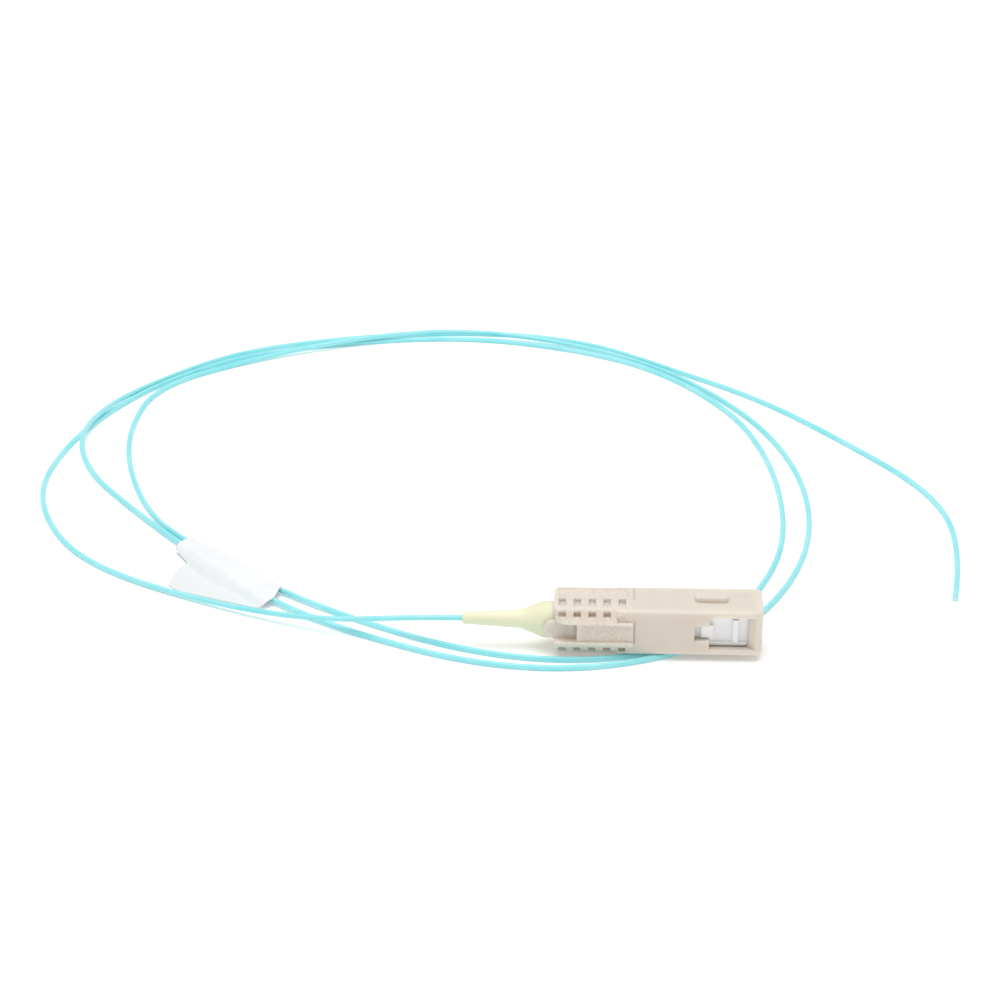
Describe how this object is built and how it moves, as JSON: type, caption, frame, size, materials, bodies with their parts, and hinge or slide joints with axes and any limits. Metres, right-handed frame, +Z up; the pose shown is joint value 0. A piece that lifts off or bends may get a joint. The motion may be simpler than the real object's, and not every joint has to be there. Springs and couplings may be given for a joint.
{
  "type": "fibre optic pigtail",
  "caption": "Fibre pigtail with a square push-pull plug: a sprung ferrule in a plug frame, a sliding grip housing, a flared boot and a long loosely looped buffered fibre with a film label.",
  "frame": {"origin": "centre of the ferrule's tip", "axes": "+X out of the plug along the ferrule, +Z up through the key on the housing's top face"},
  "size_m": [0.1581, 0.1474, 0.0092],
  "materials": {
    "housing_plastic": "satin moulded beige plastic",
    "frame_plastic": "semi-gloss white plastic",
    "ferrule_ceramic": "polished white zirconia",
    "flange_metal": "turned",
    "glass": "clear",
    "spring_steel": "drawn wire",
    "stop_ring_plastic": "satin moulded plastic",
    "boot_rubber": "soft matt, pale yellow",
    "fibre_buffer": "satin aqua buffer",
    "label_film": "thin white film"
  },
  "bodies": {
    "plug": {"plug_frame": "frame_plastic", "stop_ring": "stop_ring_plastic", "boot": "boot_rubber", "spring": "spring_steel", "fibre_inner": "fibre_buffer", "fibre_cord": "fibre_buffer", "label_sleeve": "label_film"},
    "housing": {"outer_housing": "housing_plastic"},
    "ferrule_set": {"ferrule": "ferrule_ceramic", "ferrule_flange": "flange_metal", "glass_fibre": "glass"}
  },
  "joints": [
    {"name": "housing_slide", "type": "slide", "parent": "plug", "child": "housing", "axis": [1, 0, 0], "range_m": [-0.001, 0.0008]},
    {"name": "ferrule_slide", "type": "slide", "parent": "plug", "child": "ferrule_set", "axis": [1, 0, 0], "range_m": [-0.001, 0], "stiffness_N_per_m": 1000, "deforming": ["spring"]}
  ]
}
